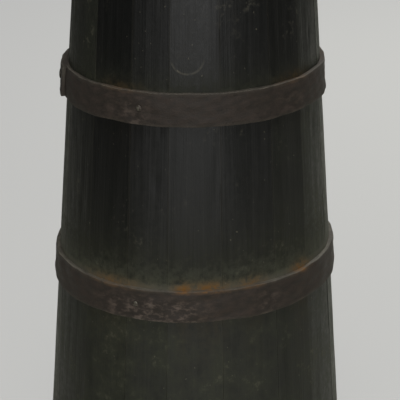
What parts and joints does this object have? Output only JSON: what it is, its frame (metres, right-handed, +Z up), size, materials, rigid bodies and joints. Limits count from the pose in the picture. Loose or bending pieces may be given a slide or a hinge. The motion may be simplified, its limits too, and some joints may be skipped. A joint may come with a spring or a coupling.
{
  "type": "butter churn",
  "caption": "Tall tapered stave-built wooden butter churn with riveted iron hoops, a lift-off lid, a splash cup and a plunging dasher with a cross-shaped foot.",
  "frame": {"origin": "on the floor under the middle of the vessel", "axes": "+Z up along the vessel's axis and the dasher's staff; -Y is the side that faces the picture's camera"},
  "size_m": [0.3038, 0.3038, 0.9865],
  "materials": {
    "stave_paint": "old near-black paint over wood, satin, worn and dusty",
    "hoop_iron": "rough wrought iron, dark brown, worn bright along the upper edge and rusty in places",
    "bottom_wood": "bare board, stained by use",
    "bare_wood": "turned hardwood, bare and polished by hands"
  },
  "bodies": {
    "vessel": {"stave_01": "stave_paint", "stave_02": "stave_paint", "stave_03": "stave_paint", "stave_04": "stave_paint", "stave_05": "stave_paint", "stave_06": "stave_paint", "stave_07": "stave_paint", "stave_08": "stave_paint", "stave_09": "stave_paint", "stave_10": "stave_paint", "stave_11": "stave_paint", "stave_12": "stave_paint", "stave_13": "stave_paint", "stave_14": "stave_paint", "stave_15": "stave_paint", "stave_16": "stave_paint", "bottom_board_front": "bottom_wood", "bottom_board_middle": "bottom_wood", "bottom_board_back": "bottom_wood", "bottom_dowels": "bare_wood", "base_hoop": "hoop_iron", "lower_hoop": "hoop_iron", "upper_hoop": "hoop_iron", "top_hoop": "hoop_iron", "hoop_rivets": "hoop_iron", "hoop_nails": "hoop_iron"},
    "lid": {"lid_top": "stave_paint", "lid_plug": "bottom_wood", "lid_nails": "hoop_iron"},
    "cup": {"splash_cup": "bare_wood"},
    "dasher": {"dasher_staff": "bare_wood", "dasher_blade_lower": "bottom_wood", "dasher_blade_upper": "bottom_wood", "dasher_peg": "bare_wood"}
  },
  "joints": [
    {"name": "lid_lift", "type": "slide", "parent": "vessel", "child": "lid", "axis": [0, 0, 1], "range_m": [0, 0.6]},
    {"name": "dasher_turn", "type": "hinge", "parent": "lid", "child": "cup", "pos_m": [0, 0, 0.6436], "axis": [0, 0, 1], "continuous": true},
    {"name": "dasher_stroke", "type": "slide", "parent": "cup", "child": "dasher", "axis": [0, 0, 1], "range_m": [0, 0.53]}
  ]
}
